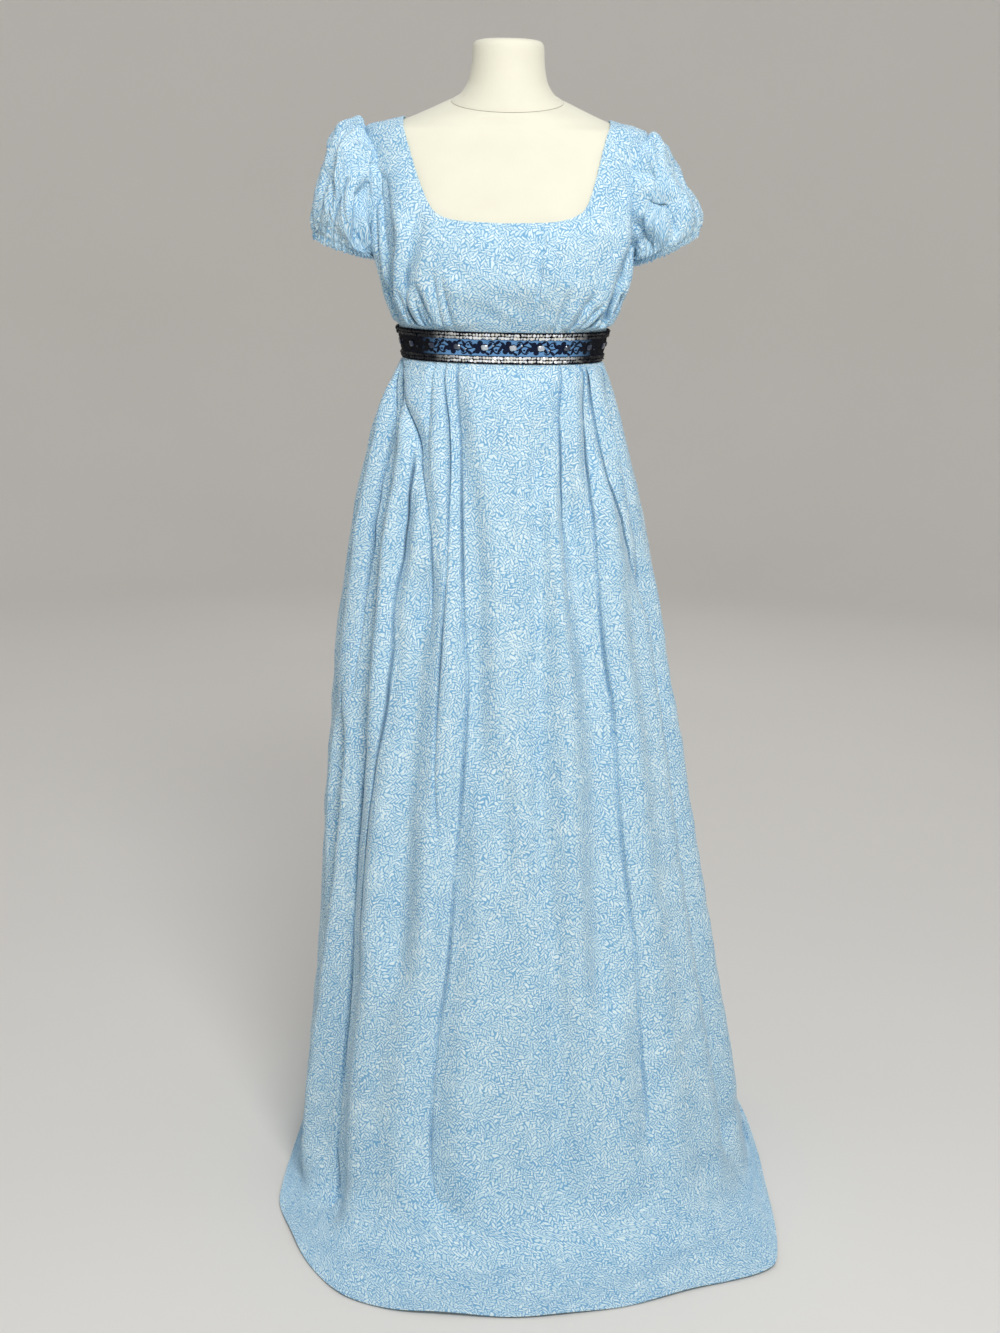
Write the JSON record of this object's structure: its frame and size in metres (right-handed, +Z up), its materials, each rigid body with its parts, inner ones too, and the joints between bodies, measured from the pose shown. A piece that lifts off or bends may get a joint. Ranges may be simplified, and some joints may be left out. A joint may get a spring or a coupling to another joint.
{
  "type": "regency gown on dress form",
  "caption": "High-waisted regency gown with a square neck, short puffed sleeves, a trimmed band under the bust and a long gathered skirt, on a plain limbless dress form.",
  "frame": {"origin": "middle of the dress form's round foot, at floor level", "axes": "+Z up, the front of the gown towards -Y, the wearer's left towards +X"},
  "size_m": [0.6812, 0.855, 1.557],
  "materials": {
    "printed_cotton": "light plain-weave cotton printed with small pale leaf sprigs on sky blue",
    "band_trim": "dark navy embroidered ribbon on steel blue with silver beads and metallic braid edges",
    "form_jersey": "cream cotton jersey stretched over a padded form",
    "stand_metal": "plain light grey painted steel"
  },
  "bodies": {
    "root": {"bodice_front": "printed_cotton", "bodice_back_left": "printed_cotton", "bodice_back_right": "printed_cotton", "sleeve_left": "printed_cotton", "sleeve_right": "printed_cotton", "skirt_front": "printed_cotton", "skirt_back_left": "printed_cotton", "skirt_back_right": "printed_cotton", "band": "band_trim", "form_torso": "form_jersey", "form_neck": "form_jersey", "form_pole": "stand_metal", "form_base": "stand_metal"}
  },
  "joints": []
}
